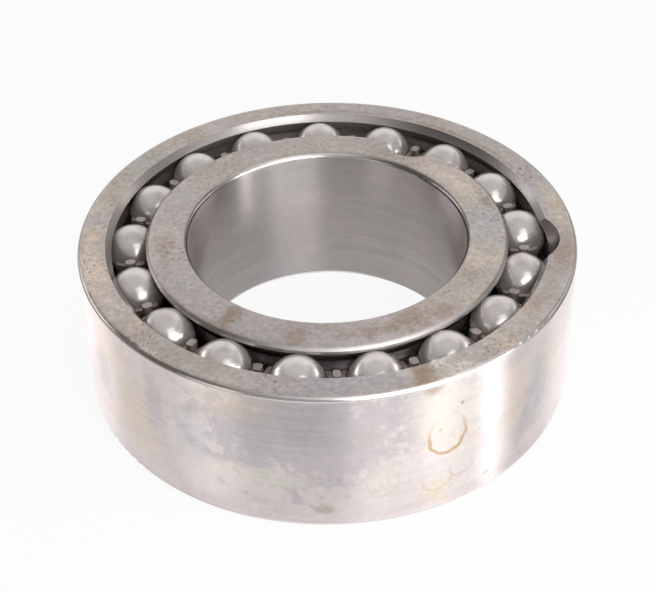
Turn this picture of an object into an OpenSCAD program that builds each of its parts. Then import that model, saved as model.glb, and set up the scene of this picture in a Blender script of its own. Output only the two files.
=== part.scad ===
// Double-row ball bearing with filling slots.
// Two deep ball rows run back to back between one outer ring and one inner ring.
// The origin is the centre of the bearing and +Z is its axis of rotation.

/* [Rings] */
// Bore diameter of the inner ring
bore_diameter = 90; // [85:0.5:100]
// Radial height of the section, from the bore to the outside diameter
section_height = 35; // [34:0.5:36]
// Width of both rings
ring_width = 52.4; // [50:0.1:60]
// Corner radius of the outside diameter and of the bore
corner_radius = 2; // [1:0.1:2.4]

/* [Ball rows] */
// Number of balls in each row
balls_per_row = 17; // [14:1:17]
// Ball diameter as a share of the section height, before rounding to a standard ball
ball_share = 0.499; // [0.48:0.001:0.52]
// How far the ball circle lies outside the middle of the ring section
pitch_shift = 1; // [0:0.1:1.5]
// How far the balls stay below the faces
ball_sink = 0.57; // [0.5:0.01:2]
// Contact angle of the rows, measured from the radial plane
contact_angle = 30; // [20:1:35]
// Angle of the first ball around the axis
first_ball_angle = -98.6; // [-110:0.1:-90]
// Clearance between a ball and each raceway along the contact line
raceway_clearance = 0.03; // [0.02:0.01:0.05]
// Raceway groove radius as a share of the ball diameter
groove_conformity = 0.525; // [0.52:0.005:0.53]

/* [Shoulders] */
// Height of the outer ring's shoulders as a share of the ball diameter
outer_shoulder_share = 0.17; // [0.14:0.005:0.18]
// Height of the inner ring's shoulders as a share of the ball diameter
inner_shoulder_share = 0.2; // [0.17:0.005:0.21]
// Radial width of the outer ring's inside chamfer
outer_chamfer_width = 1.8; // [1:0.1:2]
// Depth of the outer ring's inside chamfer below the face
outer_chamfer_depth = 2.2; // [1:0.1:2.4]
// Radial width of the inner ring's rounded outside edge
inner_edge_width = 2.6; // [2.2:0.1:2.8]
// Depth of the inner ring's rounded outside edge below the face
inner_edge_depth = 1.2; // [0.8:0.1:1.4]

/* [Filling slots] */
// Radius of the cutter for the outer ring's slot
outer_slot_radius = 15; // [13:0.5:17]
// How far the outer slot reaches past the shoulder at the face
outer_slot_reach = 5.2; // [4:0.1:5.4]
// Lean of the outer slot from the axis
outer_slot_lean = 22; // [20:1:26]
// Angle of the outer slot around the axis
outer_slot_angle = -4; // [-15:0.5:15]
// Radius of the cutter for the inner ring's slot
inner_slot_radius = 11; // [10:0.5:12]
// How far the inner slot reaches past the shoulder at the face
inner_slot_reach = 7.5; // [5:0.1:7.6]
// Lean of the inner slot from the axis
inner_slot_lean = 30; // [26:1:34]
// Angle of the inner slot around the axis
inner_slot_angle = 59.5; // [45:0.5:75]

/* [Cages] */
// Thickness of the cage sheet
sheet = 1.5; // [1.2:0.1:1.6]
// Clearance between a ball and its pocket
pocket_clearance = 0.3; // [0.2:0.05:0.4]
// Radial gap between the cage and the shoulders of both rings
cage_land_gap = 1; // [0.8:0.1:1.5]
// Height of the pocket rims above the ball centres
rim_rise = 1.6; // [1:0.1:2.5]
// Height of the finger tips above the ball centres
finger_rise = 4.4; // [3.5:0.1:5]
// Radial length of a finger
finger_length = 3.2; // [2.6:0.1:4]
// How far a finger runs into the cups on its two sides
finger_bite = 0.1; // [0.05:0.05:0.2]

/* [Hidden] */
inch = 25.4;
ball_step = inch / 32;

half_width = ring_width / 2;
bore_radius = bore_diameter / 2;
outside_radius = bore_radius + section_height;
ball_diameter = ball_step * round(ball_share * section_height / ball_step);
ball_radius = ball_diameter / 2;
pitch_radius = (outside_radius + bore_radius) / 2 + pitch_shift;
row_height = half_width - ball_radius - ball_sink;
ball_pitch_angle = 360 / balls_per_row;
ball_spacing = 2 * pitch_radius * sin(ball_pitch_angle / 2);

outer_land_radius = pitch_radius + ball_radius - outer_shoulder_share * ball_diameter;
inner_land_radius = pitch_radius - ball_radius + inner_shoulder_share * ball_diameter;
groove_radius = groove_conformity * ball_diameter;
groove_offset = groove_radius - ball_radius - raceway_clearance;

pocket_radius = ball_radius + pocket_clearance;
cage_outer_radius = outer_land_radius - cage_land_gap;
cage_inner_radius = inner_land_radius + cage_land_gap;
cup_radius = pocket_radius + sheet;
cage_base = row_height - cup_radius;
finger_width = ball_spacing - 2 * cup_radius + 2 * finger_bite;
finger_corner = 0.4 * min(finger_width, finger_length);

over = 1;
hair = 0.002;
slot_run = 14;
slot_lead = 8;
$fn = 128;

ROWS = ["upper", "lower"];
BALLS = [for (row = ROWS) for (i = [1:balls_per_row]) str(row, "_ball_", i)];

// ---- shared shapes ----

// Puts its children on the upper or the lower row.
// The lower row is the upper one turned over about the X axis.
module on_row(row) {
    if (row == "upper") {
        children();
    } else {
        rotate([180, 0, 0]) children();
    }
}

// Rectangle from radius a to radius b, centred on the middle plane.
module band(a, b, height) {
    translate([a, -height / 2]) square([b - a, height]);
}

// Section of the material that rounding a ring's corner takes away, on the upper face.
// The corner is at radius x and side is +1 where material lies at smaller radius.
module corner_waste(x, side) {
    difference() {
        translate([side > 0 ? x - corner_radius : x - over, half_width - corner_radius])
            square([corner_radius + over, corner_radius + over]);
        translate([x - side * corner_radius, half_width - corner_radius]) circle(r = corner_radius);
    }
}

// Section of the material that the inner ring's rounded outside edge takes away.
// The arc leaves the face almost flush and crosses the land at about the full depth.
// It is lifted by a hair, so that it cuts the face cleanly instead of only touching it.
module inner_edge_waste() {
    arc_radius = (inner_edge_width ^ 2 + inner_edge_depth ^ 2) / (2 * inner_edge_depth);
    start_radius = inner_land_radius - inner_edge_width;
    difference() {
        translate([start_radius, half_width - inner_edge_depth - over])
            square([inner_edge_width + over, inner_edge_depth + 2 * over]);
        translate([start_radius, half_width - arc_radius + hair]) circle(r = arc_radius);
    }
}

// Triangular section that the outer ring's inside chamfer takes away.
module chamfer_waste() {
    slope = outer_chamfer_depth / outer_chamfer_width;
    polygon([
        [outer_land_radius - over, half_width - outer_chamfer_depth - over * slope],
        [outer_land_radius + outer_chamfer_width + over, half_width + over * slope],
        [outer_land_radius - over, half_width + over * slope]
    ]);
}

// Circle of a raceway groove; side is +1 for the outer ring's groove.
// Its centre stands back from the ball centre along the contact line.
module groove_circle(side) {
    translate([
        pitch_radius - side * groove_offset * cos(contact_angle),
        row_height + side * groove_offset * sin(contact_angle)
    ]) circle(r = groove_radius);
}

// Repeats a section in the upper half on the lower half.
module both_halves() {
    children();
    mirror([0, 1]) children();
}

// Leaning cylinder that opens a shoulder to the groove.
// reach_radius is where its wall meets the face; side is +1 for the outer ring.
module slot_cutter(angle, cutter_radius, reach_radius, lean, side) {
    rotate([0, 0, angle])
        translate([reach_radius, 0, half_width])
            rotate([0, side * lean, 0])
                translate([-side * cutter_radius, 0, -slot_run])
                    cylinder(r = cutter_radius, h = slot_run + slot_lead);
}

// ---- rings ----

module outer_ring_section() {
    difference() {
        band(outer_land_radius, outside_radius, ring_width);
        both_halves() {
            corner_waste(outside_radius, 1);
            chamfer_waste();
            groove_circle(1);
        }
    }
}

module inner_ring_section() {
    difference() {
        band(bore_radius, inner_land_radius, ring_width);
        both_halves() {
            corner_waste(bore_radius, -1);
            inner_edge_waste();
            groove_circle(-1);
        }
    }
}

module outer_ring() {
    color([0.66, 0.62, 0.58])
    difference() {
        rotate_extrude() outer_ring_section();
        for (row = ROWS)
            on_row(row)
                slot_cutter(
                    outer_slot_angle, outer_slot_radius,
                    outer_land_radius + outer_slot_reach, outer_slot_lean, 1
                );
    }
}

module inner_ring() {
    color([0.60, 0.56, 0.54])
    difference() {
        rotate_extrude() inner_ring_section();
        for (row = ROWS)
            on_row(row)
                slot_cutter(
                    inner_slot_angle, inner_slot_radius,
                    inner_land_radius - inner_slot_reach, inner_slot_lean, -1
                );
    }
}

// ---- balls ----

// Puts its children at ball number i of the upper row.
module at_ball(i) {
    rotate([0, 0, first_ball_angle + (i - 1) * ball_pitch_angle])
        translate([pitch_radius, 0, row_height]) children();
}

// Puts its children half way between ball number i and the next one.
module between_balls(i) {
    rotate([0, 0, ball_pitch_angle / 2]) at_ball(i) children();
}

module ball(row, i) {
    color([0.82, 0.83, 0.85])
    on_row(row) at_ball(i) sphere(d = ball_diameter);
}

// ---- cages ----

// Ring-shaped space that a cage keeps to, from its base up to a height.
module cage_band(top) {
    difference() {
        translate([0, 0, cage_base]) cylinder(r = cage_outer_radius, h = top - cage_base);
        translate([0, 0, cage_base - over])
            cylinder(r = cage_inner_radius, h = top - cage_base + 2 * over);
    }
}

// Pressed cups around the lower side of every ball, up to the rims.
module cage_cups() {
    intersection() {
        cage_band(row_height + rim_rise);
        for (i = [1:balls_per_row]) at_ball(i) sphere(r = cup_radius);
    }
}

// Outline of a finger, a rectangle with rounded corners.
module finger_outline() {
    across = finger_length / 2 - finger_corner;
    along = finger_width / 2 - finger_corner;
    square([finger_length, 2 * along], center = true);
    square([2 * across, finger_width], center = true);
    for (x = [-across, across])
        for (y = [-along, along])
            translate([x, y]) circle(r = finger_corner);
}

// Upright finger that stands on the base ring.
module cage_finger() {
    translate([0, 0, -cup_radius]) linear_extrude(cup_radius + finger_rise) finger_outline();
}

// One-piece crown cage, open towards its face of the bearing.
module cage(row) {
    color([0.50, 0.46, 0.42])
    on_row(row)
    difference() {
        union() {
            cage_band(cage_base + sheet);
            cage_cups();
            for (i = [1:balls_per_row]) between_balls(i) cage_finger();
        }
        for (i = [1:balls_per_row]) at_ball(i) sphere(r = pocket_radius);
    }
}

outer_ring();
inner_ring();
cage("upper");  // upper_cage
cage("lower");  // lower_cage
for (row = ROWS)
    for (i = [1:balls_per_row])
        ball(row, i);
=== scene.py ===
"""Looks of the double-row ball bearing: ground and stained steel on a white studio floor."""

import math

import bpy
from mathutils import Matrix, Vector


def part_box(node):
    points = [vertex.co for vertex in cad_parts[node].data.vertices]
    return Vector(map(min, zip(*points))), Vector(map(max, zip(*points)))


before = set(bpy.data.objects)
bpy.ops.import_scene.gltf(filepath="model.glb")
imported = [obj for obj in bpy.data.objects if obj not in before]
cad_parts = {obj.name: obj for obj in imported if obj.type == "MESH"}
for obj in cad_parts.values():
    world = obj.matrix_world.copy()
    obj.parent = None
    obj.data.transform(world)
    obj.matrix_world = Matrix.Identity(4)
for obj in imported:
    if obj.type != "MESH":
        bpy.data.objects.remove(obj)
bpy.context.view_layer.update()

# ---- sizes, all read from the frame ----

RING_LOW, RING_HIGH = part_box("outer_ring")
OUTSIDE_RADIUS = (RING_HIGH.x - RING_LOW.x) / 2
OUTSIDE_DIAMETER = 2 * OUTSIDE_RADIUS
TOP = RING_HIGH.z
BOTTOM = RING_LOW.z
BALL_LOW, BALL_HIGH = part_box("upper_ball_1")
BALL_RADIUS = (BALL_HIGH.z - BALL_LOW.z) / 2
BALL_CENTRE = (BALL_LOW + BALL_HIGH) / 2
PITCH_RADIUS = Vector((BALL_CENTRE.x, BALL_CENTRE.y)).length
ROW_HEIGHT = BALL_CENTRE.z

# ---- colours ----

PALE_STEEL = (0.83, 0.75, 0.74)
FACE_STEEL = (0.58, 0.525, 0.49)
BORE_STEEL = (0.49, 0.452, 0.443)
BALL_STEEL = (0.69, 0.65, 0.63)
CAGE_STEEL = (0.39, 0.35, 0.315)
ROSE_TINT = (0.68, 0.56, 0.55)
VIOLET_TINT = (0.52, 0.48, 0.51)
BLUE_TINT = (0.54, 0.56, 0.60)
STRAW_TINT = (0.80, 0.68, 0.52)
CREAM_TINT = (0.86, 0.81, 0.72)
PEACH_TINT = (0.84, 0.71, 0.61)
OLIVE_TINT = (0.48, 0.46, 0.37)
GREY_TINT = (0.42, 0.40, 0.40)
BROWN_TINT = (0.40, 0.30, 0.22)
GREY_BROWN = (0.44, 0.39, 0.36)
RUST = (0.24, 0.12, 0.06)
VARNISH = (0.55, 0.34, 0.14)
# Dark colour for dirt patches on the cage, and for painted shade in the gap between the rings and
# deep in the cage.
GRIME_AND_SHADE = (0.15, 0.125, 0.105)
# Painted highlight and painted shade for the bevelled edges.
EDGE_HIGHLIGHT = (0.82, 0.78, 0.76)
EDGE_SHADE = (0.17, 0.15, 0.14)
EDGE_DEEP_SHADE = (0.13, 0.115, 0.11)
FLOOR_GREY = (0.8, 0.8, 0.8)
WHITE = (1.0, 1.0, 1.0)


# ---- node helpers ----

class Tree:
    """A node tree, with short calls that return output sockets."""

    NOISE_LOW = 0.3
    NOISE_HIGH = 0.7

    def __init__(self, node_tree):
        self.nodes = node_tree.nodes
        self.links = node_tree.links
        self.nodes.clear()

    def set(self, socket, value):
        """Links a socket, or writes a constant straight onto the input."""
        if isinstance(value, bpy.types.NodeSocket):
            self.links.new(value, socket)
        elif hasattr(value, "__len__") and len(value) == 3 and len(socket.default_value) == 4:
            socket.default_value = (*value, 1)
        else:
            socket.default_value = value

    def math(self, operation, a, b=0.0):
        node = self.nodes.new("ShaderNodeMath")
        node.operation = operation
        self.set(node.inputs[0], a)
        self.set(node.inputs[1], b)
        return node.outputs[0]

    def times(self, first, *factors):
        """Product of all the factors."""
        product = first
        for factor in factors:
            product = self.math("MULTIPLY", product, factor)
        return product

    def rest(self, share):
        """What a share leaves of 1."""
        return self.math("SUBTRACT", 1.0, share)

    def past(self, value, start, scale):
        """How far a value lies past the start, times a scale."""
        return self.times(self.math("SUBTRACT", value, start), scale)

    def length(self, a, b):
        return self.math("SQRT", self.math("ADD", self.times(a, a), self.times(b, b)))

    def position(self):
        return self.nodes.new("ShaderNodeTexCoord").outputs["Object"]

    def place(self, stretch=(1, 1, 1), seed=0):
        """The position, stretched, and moved by a seed so that patterns don't repeat each other."""
        node = self.nodes.new("ShaderNodeMapping")
        self.set(node.inputs["Vector"], self.position())
        node.inputs["Scale"].default_value = stretch
        node.inputs["Location"].default_value = (seed, -seed, seed / 2)
        return node.outputs[0]

    def split(self, vector):
        node = self.nodes.new("ShaderNodeSeparateXYZ")
        self.set(node.inputs[0], vector)
        return node.outputs

    def join(self, x, y, z):
        node = self.nodes.new("ShaderNodeCombineXYZ")
        for socket, value in zip(node.inputs, (x, y, z)):
            self.set(socket, value)
        return node.outputs[0]

    def noise(self, vector, scale, detail=4.0, roughness=0.55, distortion=0.0):
        """Noise of so many waves to the metre, most of it between NOISE_LOW and NOISE_HIGH."""
        node = self.nodes.new("ShaderNodeTexNoise")
        self.set(node.inputs["Vector"], vector)
        node.inputs["Scale"].default_value = scale
        node.inputs["Detail"].default_value = detail
        node.inputs["Roughness"].default_value = roughness
        node.inputs["Distortion"].default_value = distortion
        return node.outputs["Fac"]

    def ramp(self, factor, low, high):
        """Rises smoothly from 0 at low to 1 at high."""
        node = self.nodes.new("ShaderNodeMapRange")
        node.interpolation_type = "SMOOTHSTEP"
        self.set(node.inputs["Value"], factor)
        node.inputs["From Min"].default_value = low
        node.inputs["From Max"].default_value = high
        return node.outputs["Result"]

    def band(self, value, rise, fall):
        """Rises from 0 to 1 over one range and falls back to 0 over another."""
        return self.times(self.ramp(value, *rise), self.rest(self.ramp(value, *fall)))

    def patches(self, vector, low, high, **grain):
        """1 where a noise lies above high and 0 where it lies below low."""
        return self.ramp(self.noise(vector, **grain), low, high)

    def between(self, factor, low, high, to_low, to_high):
        """Goes evenly from one value at low to another at high."""
        node = self.nodes.new("ShaderNodeMapRange")
        self.set(node.inputs["Value"], factor)
        node.inputs["From Min"].default_value = low
        node.inputs["From Max"].default_value = high
        node.inputs["To Min"].default_value = to_low
        node.inputs["To Max"].default_value = to_high
        return node.outputs["Result"]

    def spread(self, noise, to_low, to_high):
        """Spreads a noise between two values."""
        return self.between(noise, self.NOISE_LOW, self.NOISE_HIGH, to_low, to_high)

    def mix(self, factor, a, b, blend="MIX"):
        node = self.nodes.new("ShaderNodeMix")
        node.data_type = "RGBA"
        node.blend_type = blend
        self.set(node.inputs["Factor"], factor)
        self.set(node.inputs["A"], a)
        self.set(node.inputs["B"], b)
        return node.outputs["Result"]

    def shaded(self, colour, brightness):
        """A colour times a grey brightness."""
        grey = self.join(brightness, brightness, brightness)
        return self.mix(1.0, colour, grey, "MULTIPLY")

    def mix_shader(self, factor, a, b):
        node = self.nodes.new("ShaderNodeMixShader")
        self.set(node.inputs["Fac"], factor)
        self.links.new(a, node.inputs[1])
        self.links.new(b, node.inputs[2])
        return node.outputs[0]

    def bump(self, height, distance, strength, normal=None):
        node = self.nodes.new("ShaderNodeBump")
        node.inputs["Distance"].default_value = distance
        node.inputs["Strength"].default_value = strength
        self.set(node.inputs["Height"], height)
        if normal is not None:
            self.links.new(normal, node.inputs["Normal"])
        return node.outputs["Normal"]


class MaterialTree(Tree):
    """The node tree of a new material, with one principled shader."""

    def __init__(self, name):
        self.material = bpy.data.materials.new(name)
        self.material.use_nodes = True
        super().__init__(self.material.node_tree)
        self.output = self.nodes.new("ShaderNodeOutputMaterial")
        self.shader = self.nodes.new("ShaderNodeBsdfPrincipled")
        self.links.new(self.shader.outputs["BSDF"], self.output.inputs["Surface"])

    def fill(self, **inputs):
        """Sets the shader's inputs, named with underscores for spaces, and returns the material."""
        for name, value in inputs.items():
            self.set(self.shader.inputs[name.replace("_", " ")], value)
        return self.material


# ---- marks on the rings, with angles in degrees and lengths in metres ----

HEAT_STAINS = (
    # noise scale, noise where a blotch starts and is full, colour, share
    (19, 0.46, 0.62, VIOLET_TINT, 0.80),
    (26, 0.52, 0.66, ROSE_TINT, 0.60),
    (34, 0.53, 0.68, STRAW_TINT, 0.85),
    (41, 0.55, 0.70, BLUE_TINT, 0.70),
    (55, 0.58, 0.72, OLIVE_TINT, 0.45),
)
WALL_RINGS = (
    # angle, depth below the top face, half width, half height, rim thickness, colour, share
    (-64.4, 0.0215, 0.0062, 0.0078, 0.13, VARNISH, 0.75),
    (-60.5, 0.0372, 0.0042, 0.0034, 0.18, VARNISH, 0.22),
    (-66.5, 0.0392, 0.0050, 0.0042, 0.16, VARNISH, 0.22),
    (-79.0, 0.0345, 0.0050, 0.0060, 0.14, BROWN_TINT, 0.12),
)
WALL_SPOTS = (
    # angle, depth below the top face, half width, half height, softness, colour, share
    (-96.0, 0.0150, 0.0325, 0.0200, 0.22, VIOLET_TINT, 0.55),
    (-97.0, 0.0090, 0.0130, 0.0080, 0.60, GREY_TINT, 0.22),
    (-121.0, 0.0230, 0.0060, 0.0080, 0.60, BLUE_TINT, 0.45),
    (-112.0, 0.0055, 0.0110, 0.0050, 0.70, STRAW_TINT, 0.40),
    (-107.0, 0.0330, 0.0170, 0.0030, 0.50, CREAM_TINT, 0.60),
    (-79.0, 0.0335, 0.0048, 0.0062, 0.80, CREAM_TINT, 0.55),
    (-138.0, 0.0300, 0.0090, 0.0130, 0.60, PEACH_TINT, 0.70),
    (-147.0, 0.0120, 0.0110, 0.0080, 0.70, PEACH_TINT, 0.45),
    (-152.0, 0.0240, 0.0045, 0.0100, 0.80, GREY_TINT, 0.35),
    (-131.0, 0.0180, 0.0040, 0.0120, 0.60, VIOLET_TINT, 0.40),
    (-65.0, 0.0120, 0.0095, 0.0170, 0.40, CREAM_TINT, 0.65),
    (-66.5, 0.0450, 0.0050, 0.0050, 0.50, STRAW_TINT, 0.60),
    (-91.4, 0.0447, 0.0030, 0.0016, 0.60, BROWN_TINT, 0.50),
    (-106.8, 0.0465, 0.0014, 0.0018, 0.40, CREAM_TINT, 0.80),
    (-61.1, 0.0111, 0.0006, 0.0006, 0.50, BROWN_TINT, 0.70),
    (-66.2, 0.0190, 0.0005, 0.0005, 0.50, BROWN_TINT, 0.50),
    (-53.5, 0.0455, 0.0010, 0.0010, 0.50, GREY_TINT, 0.50),
    (-68.2, 0.0010, 0.0030, 0.0030, 0.60, BROWN_TINT, 0.70),
    (-45.0, 0.0210, 0.0060, 0.0130, 0.60, PEACH_TINT, 0.60),
    (-37.0, 0.0240, 0.0055, 0.0120, 0.70, BLUE_TINT, 0.50),
    (-41.0, 0.0350, 0.0050, 0.0060, 0.60, GREY_TINT, 0.25),
    (-31.5, 0.0190, 0.0050, 0.0100, 0.70, PEACH_TINT, 0.50),
)
FACE_SPOTS = (
    # angle, radius, half length, half width, softness, colour, share
    (-125.0, 0.0515, 0.0026, 0.0050, 0.8, BROWN_TINT, 0.85),
    (-101.0, 0.0530, 0.0032, 0.0040, 0.8, BROWN_TINT, 0.65),
    (-75.0, 0.0520, 0.0090, 0.0022, 0.8, BROWN_TINT, 0.50),
    (-62.0, 0.0515, 0.0055, 0.0040, 0.8, BROWN_TINT, 0.60),
    (-50.0, 0.0540, 0.0040, 0.0024, 0.8, RUST, 0.30),
    (-172.0, 0.0520, 0.0060, 0.0026, 0.9, BROWN_TINT, 0.45),
    (5.0, 0.0520, 0.0090, 0.0050, 0.8, BLUE_TINT, 0.55),
    (38.0, 0.0510, 0.0100, 0.0040, 0.9, PEACH_TINT, 0.55),
    (16.0, 0.0550, 0.0025, 0.0020, 0.9, RUST, 0.35),
    (66.0, 0.0500, 0.0050, 0.0036, 0.8, OLIVE_TINT, 0.55),
    (-10.0, 0.0755, 0.0090, 0.0030, 0.9, BROWN_TINT, 0.60),
    (-30.0, 0.0745, 0.0060, 0.0022, 0.9, BROWN_TINT, 0.45),
    (12.0, 0.0760, 0.0100, 0.0024, 0.9, STRAW_TINT, 0.45),
    (-70.0, 0.0760, 0.0022, 0.0040, 0.6, BROWN_TINT, 0.70),
    (-166.0, 0.0755, 0.0160, 0.0028, 0.9, PEACH_TINT, 0.60),
    (150.0, 0.0750, 0.0200, 0.0030, 0.9, OLIVE_TINT, 0.40),
    (52.0, 0.0724, 0.0240, 0.0008, 0.9, BROWN_TINT, 0.60),
    (92.0, 0.0726, 0.0140, 0.0008, 0.9, BROWN_TINT, 0.45),
)
# How ragged an outline is: small spots and rings are rounder than large spots and smudges.
SMALL_SPOT = 0.0035
SMALL_SPOT_RAGGED = 0.6
LARGE_SPOT_RAGGED = 2.8
WALL_RING_RAGGED = 0.5
FACE_SPOT_RAGGED = 3.0
# A wall ring's rim is full up to this share of its thickness, and it fades out upwards.
RIM_CORE = 0.3
RUN_DOWN = (-1.1, 0.6)
UPPER_FACE = (TOP - 0.003, TOP - 0.001)


def heat_stains(tree, colour, amount, seed):
    """Blotches of violet, rose, straw, blue and olive over a steel colour."""
    place = tree.place(stretch=(1, 1, 1.5), seed=seed)
    for scale, low, high, tint, share in HEAT_STAINS:
        blotch = tree.patches(place, low, high,
                              scale=scale, detail=6.0, roughness=0.6, distortion=0.8)
        colour = tree.mix(tree.times(blotch, share, amount), colour, tint)
    return colour


def unevenness(tree, **grain):
    """A noise round zero, which makes outlines ragged."""
    return tree.math("SUBTRACT", tree.noise(tree.position(), **grain), 0.5)


def reach_of(tree, across, along, uneven, ragged):
    """Distance from the middle of a spot, 1 on its ragged outline."""
    return tree.math("ADD", tree.length(across, along), tree.times(uneven, ragged))


def rim_of(tree, reach, thickness):
    """1 along the outline of a spot."""
    off = tree.math("ABSOLUTE", tree.math("SUBTRACT", reach, 1.0))
    return tree.rest(tree.ramp(off, thickness * RIM_CORE, thickness))


def inside_of(tree, reach, softness):
    """1 within the outline of a spot."""
    return tree.rest(tree.ramp(reach, 1 - softness, 1 + softness))


def wall_marks(tree, colour, angle, height):
    """Dried drips, rings and rust spots on the outside wall."""
    uneven = unevenness(tree, scale=210, detail=4.0, roughness=0.6)

    def from_mark(at_angle, depth, half_width, half_height, ragged):
        across = tree.past(angle, math.radians(at_angle), OUTSIDE_RADIUS / half_width)
        along = tree.past(height, TOP - depth, 1 / half_height)
        return reach_of(tree, across, along, uneven, ragged), along

    for at_angle, depth, half_width, half_height, softness, tint, share in WALL_SPOTS:
        ragged = SMALL_SPOT_RAGGED if half_width < SMALL_SPOT else LARGE_SPOT_RAGGED
        reach, _ = from_mark(at_angle, depth, half_width, half_height, ragged)
        colour = tree.mix(tree.times(inside_of(tree, reach, softness), share), colour, tint)
    for at_angle, depth, half_width, half_height, thickness, tint, share in WALL_RINGS:
        reach, along = from_mark(at_angle, depth, half_width, half_height, WALL_RING_RAGGED)
        run_down = tree.ramp(tree.times(along, -1.0), *RUN_DOWN)
        mark = tree.times(rim_of(tree, reach, thickness), run_down, share)
        colour = tree.mix(mark, colour, tint)
    return colour


def face_marks(tree, colour, radius, angle, height, flat):
    """Brown, blue and straw smudges on the upper faces."""
    upper = tree.times(flat, tree.ramp(height, *UPPER_FACE))
    uneven = unevenness(tree, scale=330, detail=5.0, roughness=0.65)
    for at_angle, at_radius, half_length, half_width, softness, tint, share in FACE_SPOTS:
        across = tree.past(angle, math.radians(at_angle), at_radius / half_length)
        out = tree.past(radius, at_radius, 1 / half_width)
        reach = reach_of(tree, across, out, uneven, FACE_SPOT_RAGGED)
        mark = tree.times(inside_of(tree, reach, softness), upper, share)
        colour = tree.mix(mark, colour, tint)
    return colour


# ---- rings ----

# Ranges of the size of the normal's z, which is 0 on a wall and 1 on a face.
FLAT_RISE = (0.55, 0.90)
BEVEL_RISE = (0.12, 0.30)
BEVEL_FALL = (0.80, 0.93)

# Where the gap between the rings is painted in shade: radii on either side of the balls, and heights
# up to just below the faces.
GAP_SHADE_RISE = (PITCH_RADIUS - BALL_RADIUS * 0.75, PITCH_RADIUS - BALL_RADIUS * 0.55)
GAP_SHADE_FALL = (PITCH_RADIUS + BALL_RADIUS * 0.70, PITCH_RADIUS + BALL_RADIUS * 1.2)
GAP_SHADE_TOP = (TOP - 0.0035, TOP - 0.0008)
GAP_SHADE_SHARE = 0.7
GAP_SHADE_METALLIC = 0.35

# The edges get painted shade towards one side and the side opposite it, and a painted highlight in
# between.
EDGE_SHADE_SIDE = (0.966, 0.259, 0.0)
DEEPER_SHADE_RISE = (0.0, 0.6)
DARK_RISE = (0.35, 0.75)
EDGE_SHARE = 0.85

# Grinding marks: waves to the metre along them, and across them.
GRINDING_ALONG = 14
GRINDING_FINE = 2600.0
GRINDING_COARSE = 700.0
GRINDING_TONE = (0.96, 1.03)
GRINDING_HEIGHT = 0.000006

# Stains: how strong they are, and seeds that set them apart.
FACE_STAINS = 0.55
BROWN_SHARE = 0.25
CLOUD_SEED = 4
MOTTLE_TONE = (0.80, 1.16)
WALL_MOTTLE = 0.3
WALL_RUST = 0.12
FACE_RUST = 0.8
RUST_SEED = 9
RUST_HEIGHT = 0.00005

# Roughness: the wall's own goes down and up a little with the grinding marks.
SMOOTHER_GRAIN = 0.03
ROUGHER_GRAIN = 0.04
BEVEL_SMOOTHER = 0.14
FACE_ROUGHER = 0.22
RUST_ROUGHER = 0.3

# Anisotropy: full on the walls, and so much less on faces and edges.
FACE_LESS_BRUSHED = 0.6
BEVEL_LESS_BRUSHED = 0.8
QUARTER_TURN = 0.25


def round_the_axis(tree):
    """Radius, angle and height of the shaded point."""
    x, y, z = tree.split(tree.position())
    return tree.length(x, y), tree.math("ARCTAN2", y, x), z


def grinding_marks(tree, radius, height, seed):
    """Fine and coarse rings round the axis, on the faces by radius and on the walls by height."""
    x, y, _ = tree.split(tree.place(stretch=(GRINDING_ALONG, GRINDING_ALONG, 0)))
    across = tree.math("ADD", radius, height)
    fine_place = tree.join(x, y, tree.times(across, GRINDING_FINE))
    coarse_place = tree.join(x, tree.math("ADD", y, seed), tree.times(across, GRINDING_COARSE))
    return tree.noise(fine_place, scale=1, detail=2.0), tree.noise(coarse_place, scale=1, detail=3.0)


def steepness(tree):
    """0 on a wall and 1 on a face."""
    normal = tree.nodes.new("ShaderNodeNewGeometry").outputs["Normal"]
    return tree.math("ABSOLUTE", tree.split(normal)["Z"])


def tarnish(tree, colour, flat, seed):
    """Brown clouds on the faces, and a fine mottle that is weaker on the walls."""
    clouds = tree.patches(tree.place(seed=seed + CLOUD_SEED), low=0.50, high=0.66,
                          scale=48, detail=5.0, roughness=0.65, distortion=0.6)
    colour = tree.mix(tree.times(clouds, flat, BROWN_SHARE), colour, BROWN_TINT)
    mottle = tree.noise(tree.place(seed=seed), scale=620, detail=4.0, roughness=0.7)
    share = tree.between(flat, 0, 1, WALL_MOTTLE, 1.0)
    return tree.mix(share, colour, tree.shaded(colour, tree.spread(mottle, *MOTTLE_TONE)))


def rust_specks(tree, flat, seed):
    """Fine specks of rust in patches, most of them on the faces."""
    specks = tree.patches(tree.position(), low=0.57, high=0.68,
                          scale=950, detail=3.0, roughness=0.7)
    patch = tree.patches(tree.place(seed=seed + RUST_SEED), low=0.46, high=0.62,
                         scale=42, detail=4.0, roughness=0.6)
    return tree.times(specks, patch, tree.between(flat, 0, 1, WALL_RUST, FACE_RUST))


def painted_edge_light(tree, radius):
    """Painted shade towards one side and the side opposite it, a painted highlight in between."""
    along = tree.nodes.new("ShaderNodeVectorMath")
    along.operation = "DOT_PRODUCT"
    tree.set(along.inputs[0], tree.position())
    tree.set(along.inputs[1], EDGE_SHADE_SIDE)
    aside = tree.math("DIVIDE", along.outputs["Value"], radius)
    dark = tree.mix(tree.ramp(aside, *DEEPER_SHADE_RISE), EDGE_SHADE, EDGE_DEEP_SHADE)
    return tree.mix(tree.ramp(tree.math("ABSOLUTE", aside), *DARK_RISE), EDGE_HIGHLIGHT, dark)


def painted_gap_shade(tree, radius, height):
    """Painted shade on everything between the rings, below the faces."""
    near_balls = tree.band(radius, GAP_SHADE_RISE, GAP_SHADE_FALL)
    sunk = tree.rest(tree.ramp(tree.math("ABSOLUTE", height), *GAP_SHADE_TOP))
    return tree.times(near_balls, sunk, GAP_SHADE_SHARE)


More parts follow.
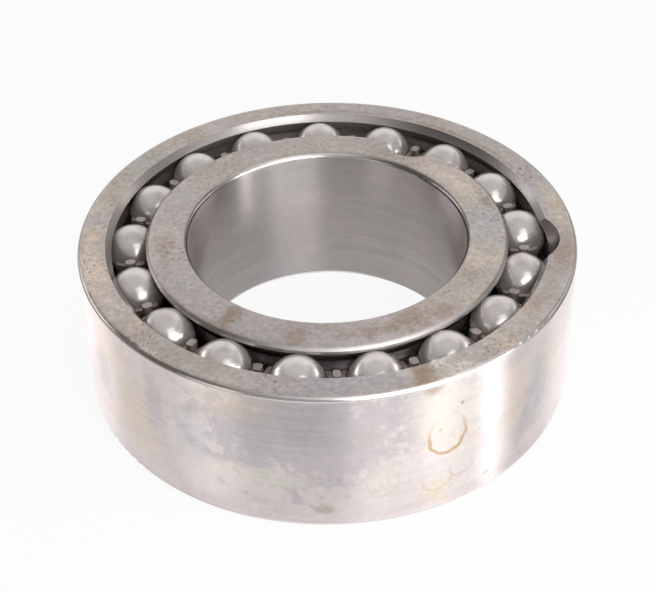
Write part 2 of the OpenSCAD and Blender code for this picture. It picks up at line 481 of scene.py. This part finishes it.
def ring_steel(name, wall_colour, wall_roughness, seed, wall_stains, marked=False):
    """Ground ring: a wall colour on the cylindrical surfaces and a browner one on the faces."""
    tree = MaterialTree(name)
    radius, angle, height = round_the_axis(tree)
    fine, coarse = grinding_marks(tree, radius, height, seed)
    steep = steepness(tree)
    flat = tree.ramp(steep, *FLAT_RISE)
    bevel = tree.band(steep, BEVEL_RISE, BEVEL_FALL)
    rust = rust_specks(tree, flat, seed)
    gap_shade = painted_gap_shade(tree, radius, height)

    colour = tree.mix(flat, wall_colour, FACE_STEEL)
    colour = heat_stains(tree, colour, tree.between(flat, 0, 1, wall_stains, FACE_STAINS), seed)
    colour = tree.shaded(colour, tree.spread(coarse, *GRINDING_TONE))
    if marked:
        colour = wall_marks(tree, colour, angle, height)
    colour = face_marks(tree, colour, radius, angle, height, flat)
    colour = tarnish(tree, colour, flat, seed)
    colour = tree.mix(rust, colour, RUST)
    # The bevelled edges take a painted highlight or painted shade, by their direction round the
    # axis.
    colour = tree.mix(tree.times(bevel, EDGE_SHARE), colour, painted_edge_light(tree, radius))
    # Painted shade in the gap between the rings, which is also less metallic there.
    colour = tree.mix(gap_shade, colour, GRIME_AND_SHADE)

    rough = tree.spread(coarse, wall_roughness - SMOOTHER_GRAIN, wall_roughness + ROUGHER_GRAIN)
    rough = tree.math("SUBTRACT", rough, tree.times(bevel, BEVEL_SMOOTHER))
    rough = tree.math("ADD", rough, tree.times(flat, FACE_ROUGHER))
    rough = tree.math("ADD", rough, tree.times(rust, RUST_ROUGHER))
    unbrushed = tree.math("MAXIMUM", tree.times(flat, FACE_LESS_BRUSHED),
                          tree.times(bevel, BEVEL_LESS_BRUSHED))
    tangent = tree.nodes.new("ShaderNodeTangent")
    tangent.direction_type = "RADIAL"
    tangent.axis = "Z"
    pits = tree.bump(rust, distance=RUST_HEIGHT, strength=0.5)
    return tree.fill(
        Base_Color=colour,
        Metallic=tree.between(gap_shade, 0, GAP_SHADE_SHARE, 1.0, GAP_SHADE_METALLIC),
        Roughness=rough,
        Anisotropic=tree.rest(unbrushed),
        Anisotropic_Rotation=QUARTER_TURN,
        Tangent=tangent.outputs["Tangent"],
        Normal=tree.bump(fine, distance=GRINDING_HEIGHT, strength=0.4, normal=pits),
    )


# ---- balls and cages ----

BALL_METALLIC = 0.65
BALL_ROUGHNESS = (0.21, 0.31)
BALL_SCRATCH_HEIGHT = 0.000006
CAGE_METALLIC = 0.75
CAGE_ROUGHNESS = (0.44, 0.58)
CAGE_MOTTLE_HEIGHT = 0.00004
CAGE_ROSE = 0.6
CAGE_DIRT = 0.4
CAGE_DEPTH_SHADE = 0.85
CAGE_DEEP = (ROW_HEIGHT - BALL_RADIUS * 0.9, ROW_HEIGHT + BALL_RADIUS * 0.3)


def ball_steel():
    """Polished steel under a rose film, with smears of dirt, brown freckles and fine scratches."""
    tree = MaterialTree("ball_steel")
    film = tree.patches(tree.position(), low=0.48, high=0.70,
                        scale=210, detail=5.0, roughness=0.65, distortion=0.6)
    dirt = tree.patches(tree.place(seed=2.0), low=0.50, high=0.68,
                        scale=120, detail=4.0, roughness=0.6, distortion=0.4)
    freckles = tree.patches(tree.place(seed=5.0), low=0.60, high=0.74,
                            scale=900, detail=3.0, roughness=0.7)
    scratches = tree.noise(tree.place(stretch=(1, 1, 6)), scale=1400, detail=2.0, roughness=0.7)
    colour = BALL_STEEL
    for mark, tint, share in (
        (film, ROSE_TINT, 0.60),
        (dirt, GREY_BROWN, 0.45),
        (freckles, BROWN_TINT, 0.35),
    ):
        colour = tree.mix(tree.times(mark, share), colour, tint)
    return tree.fill(
        Base_Color=colour,
        Metallic=BALL_METALLIC,
        Roughness=tree.between(film, 0, 1, *BALL_ROUGHNESS),
        Normal=tree.bump(scratches, distance=BALL_SCRATCH_HEIGHT, strength=0.4),
    )


def cage_steel():
    """Dull pressed steel, dirty in patches, and with painted shade all over between the rows of
    balls.
    """
    tree = MaterialTree("cage_steel")
    mottle = tree.noise(tree.position(), scale=420, detail=5.0, roughness=0.65)
    dirt = tree.patches(tree.position(), low=0.46, high=0.66, scale=130, detail=4.0, roughness=0.6)
    height = tree.math("ABSOLUTE", tree.split(tree.position())["Z"])
    # Painted shade deep in the bearing, between the rows of balls.
    deep_shade = tree.rest(tree.ramp(height, *CAGE_DEEP))
    dirt_and_shade = tree.math("MAXIMUM", tree.times(dirt, CAGE_DIRT), tree.times(deep_shade, CAGE_DEPTH_SHADE))
    colour = tree.mix(tree.spread(mottle, 0, CAGE_ROSE), CAGE_STEEL, ROSE_TINT)
    return tree.fill(
        Base_Color=tree.mix(dirt_and_shade, colour, GRIME_AND_SHADE),
        Metallic=CAGE_METALLIC,
        Roughness=tree.spread(mottle, *CAGE_ROUGHNESS),
        Normal=tree.bump(mottle, distance=CAGE_MOTTLE_HEIGHT, strength=0.5),
    )


def dress(node, material):
    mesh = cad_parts[node].data
    mesh.materials.clear()
    mesh.materials.append(material)


def dress_all():
    outer = ring_steel("outer_ring_steel", PALE_STEEL, wall_roughness=0.34, seed=3.0,
                       wall_stains=0.40, marked=True)
    inner = ring_steel("inner_ring_steel", BORE_STEEL, wall_roughness=0.37, seed=7.0,
                       wall_stains=0.18)
    balls = ball_steel()
    cages = cage_steel()
    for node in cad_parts:
        if node == "outer_ring":
            dress(node, outer)
        elif node == "inner_ring":
            dress(node, inner)
        elif "cage" in node:
            dress(node, cages)
        else:
            dress(node, balls)


# ---- studio ----

SEEN_WHITE = 0.91
FLOOR_ROUGHNESS = 0.9
FLOOR_REACH = 30 * OUTSIDE_DIAMETER

# The room that the steel mirrors: its colours, and the directions where its parts start or end.
ROOM = (0.36, 0.35, 0.35)
CEILING = (0.52, 0.52, 0.52)
SWEEP = (0.98, 0.98, 0.98)
SOFT_LIGHT = (1.0, 0.99, 0.98)
SOFT_STRENGTH = 0.62
CEILING_RISE = (0.60, 0.90)
SWEEP_BEHIND = (-0.10, 0.30)
SWEEP_TOP = (0.66, 0.90)
SWEEP_WIDE_TOP = (0.30, 0.60)
SWEEP_SIDES = (0.42, 0.72)


def seen_or_mirrored(tree):
    """1 for camera, glossy and transmission rays, which show the white backdrop."""
    path = tree.nodes.new("ShaderNodeLightPath")
    seen = path.outputs["Is Camera Ray"]
    for name in ("Is Glossy Ray", "Is Transmission Ray"):
        seen = tree.math("MAXIMUM", seen, path.outputs[name])
    return seen


def floor_material():
    """Pale matt floor, white to the camera and in the steel, with the shadow kept in it."""
    tree = MaterialTree("floor_white")
    material = tree.fill(Base_Color=FLOOR_GREY, Roughness=FLOOR_ROUGHNESS)
    glow = tree.nodes.new("ShaderNodeEmission")
    tree.set(glow.inputs["Color"], WHITE)
    glow.inputs["Strength"].default_value = 1.0
    share = tree.times(seen_or_mirrored(tree), SEEN_WHITE)
    surface = tree.mix_shader(share, tree.shader.outputs["BSDF"], glow.outputs[0])
    tree.set(tree.output.inputs["Surface"], surface)
    return material


def add_floor():
    mesh = bpy.data.meshes.new("floor")
    signs = ((-1, -1), (1, -1), (1, 1), (-1, 1))
    corners = [(x * FLOOR_REACH, y * FLOOR_REACH, BOTTOM) for x, y in signs]
    mesh.from_pydata(corners, [], [(0, 1, 2, 3)])
    floor = bpy.data.objects.new("floor", mesh)
    bpy.context.scene.collection.objects.link(floor)
    mesh.materials.append(floor_material())


def add_world():
    """White to the camera; in the steel a white sweep behind the bearing and a dim room round it."""
    world = bpy.data.worlds.new("studio")
    bpy.context.scene.world = world
    world.use_nodes = True
    tree = Tree(world.node_tree)

    def background(colour, strength=1.0):
        shader = tree.nodes.new("ShaderNodeBackground")
        tree.set(shader.inputs["Color"], colour)
        shader.inputs["Strength"].default_value = strength
        return shader.outputs[0]

    x, y, z = tree.split(tree.nodes.new("ShaderNodeTexCoord").outputs["Generated"])
    behind = tree.ramp(y, *SWEEP_BEHIND)
    below_top = tree.rest(tree.ramp(z, *SWEEP_TOP))
    low = tree.rest(tree.ramp(z, *SWEEP_WIDE_TOP))
    central = tree.rest(tree.ramp(tree.math("ABSOLUTE", x), *SWEEP_SIDES))
    sweep = tree.times(behind, below_top, tree.math("MAXIMUM", low, central))

    room = tree.mix_shader(tree.ramp(z, *CEILING_RISE), background(ROOM), background(CEILING))
    mirrored_room = tree.mix_shader(sweep, room, background(SWEEP))
    ray = tree.nodes.new("ShaderNodeLightPath").outputs
    mirrored = tree.math("MAXIMUM", ray["Is Glossy Ray"], ray["Is Transmission Ray"])
    soft_light = background(SOFT_LIGHT, SOFT_STRENGTH)
    unseen = tree.mix_shader(mirrored, soft_light, mirrored_room)
    surface = tree.mix_shader(ray["Is Camera Ray"], unseen, background(WHITE))
    output = tree.nodes.new("ShaderNodeOutputWorld")
    tree.set(output.inputs["Surface"], surface)


LAMP_TARGET = Vector((0, 0, -0.01))


def on_dome(azimuth, elevation):
    """A place one metre from the middle of the bearing."""
    azimuth, elevation = math.radians(azimuth), math.radians(elevation)
    return (math.cos(elevation) * math.cos(azimuth),
            math.cos(elevation) * math.sin(azimuth),
            math.sin(elevation))


def add_area(name, place, width, height, watts):
    light = bpy.data.lights.new(name, "AREA")
    light.shape = "RECTANGLE"
    light.size = width
    light.size_y = height
    light.energy = watts
    lamp = bpy.data.objects.new(name, light)
    bpy.context.scene.collection.objects.link(lamp)
    lamp.location = place
    lamp.rotation_euler = (LAMP_TARGET - Vector(place)).to_track_quat("-Z", "Y").to_euler()
    lamp.visible_camera = False


def add_lamps():
    """Two near the front, a soft one high at the right, and low ones at the right and behind."""
    for name, place, width, height, watts in (
        ("front_panel", (0.116, -0.228, 0.135), 0.19, 0.15, 0.27),
        ("shoulder_soft", on_dome(-58, 52), 0.50, 0.45, 0.80),
        ("right_strip", on_dome(-22.5, 10), 0.16, 0.32, 1.75),
        ("right_soft", on_dome(-38, 11), 0.52, 0.36, 1.6),
        ("right_back", on_dome(24, 10), 0.45, 0.32, 0.9),
        ("left_back", on_dome(157, 10), 0.55, 0.32, 1.7),
        ("left_lamp", (-0.289, -0.289, 0.090), 0.15, 0.15, 0.12),
    ):
        add_area(name, place, width, height, watts)


# ---- camera, solved from the ellipses of the bore and the outside diameter ----

# The focal length, in widths of the picture.
FOCAL_WIDTHS = 2.36280488
SENSOR_WIDTH = 36.0
ELEVATION = math.radians(36.19)
DISTANCE = 3.12 * OUTSIDE_DIAMETER
TILT = math.radians(-2.392)
ROLL = math.radians(-0.95)
CLIP_START = 0.01


def add_camera():
    """Looks along +Y and down at the middle of the upper face, tilted and rolled a little."""
    aim = Vector((0, math.cos(ELEVATION), -math.sin(ELEVATION)))
    up = Vector((0, math.sin(ELEVATION), math.cos(ELEVATION)))
    forward = (aim + math.tan(TILT) * up).normalized()
    right = forward.cross(Vector((0, 0, 1))).normalized()
    above = right.cross(forward)
    rolled_right = math.cos(ROLL) * right + math.sin(ROLL) * above
    rolled_up = math.cos(ROLL) * above - math.sin(ROLL) * right
    data = bpy.data.cameras.new("camera")
    data.sensor_width = SENSOR_WIDTH
    data.lens = FOCAL_WIDTHS * SENSOR_WIDTH
    data.clip_start = CLIP_START
    camera = bpy.data.objects.new("camera", data)
    bpy.context.scene.collection.objects.link(camera)
    turn = Matrix((rolled_right, rolled_up, -forward)).transposed().to_4x4()
    camera.matrix_world = Matrix.Translation(Vector((0, 0, TOP)) - aim * DISTANCE) @ turn
    bpy.context.scene.camera = camera


dress_all()
add_floor()
add_world()
add_lamps()
add_camera()
bpy.context.scene.view_settings.view_transform = "Standard"
